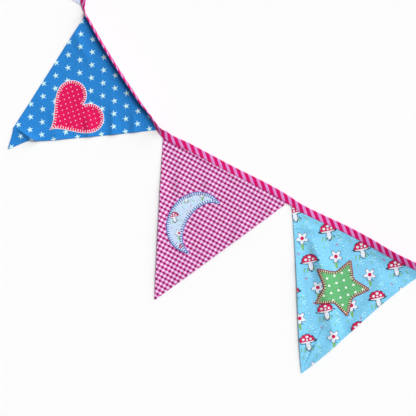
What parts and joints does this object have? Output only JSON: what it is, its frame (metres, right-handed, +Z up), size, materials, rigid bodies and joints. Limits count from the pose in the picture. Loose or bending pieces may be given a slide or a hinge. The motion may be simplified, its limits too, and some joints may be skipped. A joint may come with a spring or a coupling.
{
  "type": "bunting",
  "caption": "Triangular cloth pennants with sewn-on patches, hanging from one folded tape that lies in an easy curve, part of it standing on edge.",
  "frame": {"origin": "on the surface the bunting lies on, under the middle of its bounding box", "axes": "+Z up from the surface, +Y to the top of the layout, +X to its right, with the tape running from the top to the lower right"},
  "size_m": [0.7682, 0.8196, 0.0162],
  "materials": {
    "tape": "woven cotton, diagonal pink stripe",
    "pennant_plain": "plain woven cotton, pale blue",
    "pennant_stars": "woven cotton, mid blue with small white stars",
    "pennant_check": "woven cotton, pink and white gingham",
    "pennant_print": "woven cotton, light blue with a small print",
    "patch_heart": "woven cotton, crimson with pale pin dots",
    "patch_moon": "woven cotton, pale blue with a small print",
    "patch_star": "woven cotton, green with white dots"
  },
  "bodies": {
    "root": {"tape": "tape", "pennant_plain": "pennant_plain", "pennant_stars": "pennant_stars", "pennant_check": "pennant_check", "pennant_print": "pennant_print", "patch_heart": "patch_heart", "patch_moon": "patch_moon", "patch_star": "patch_star"}
  },
  "joints": []
}
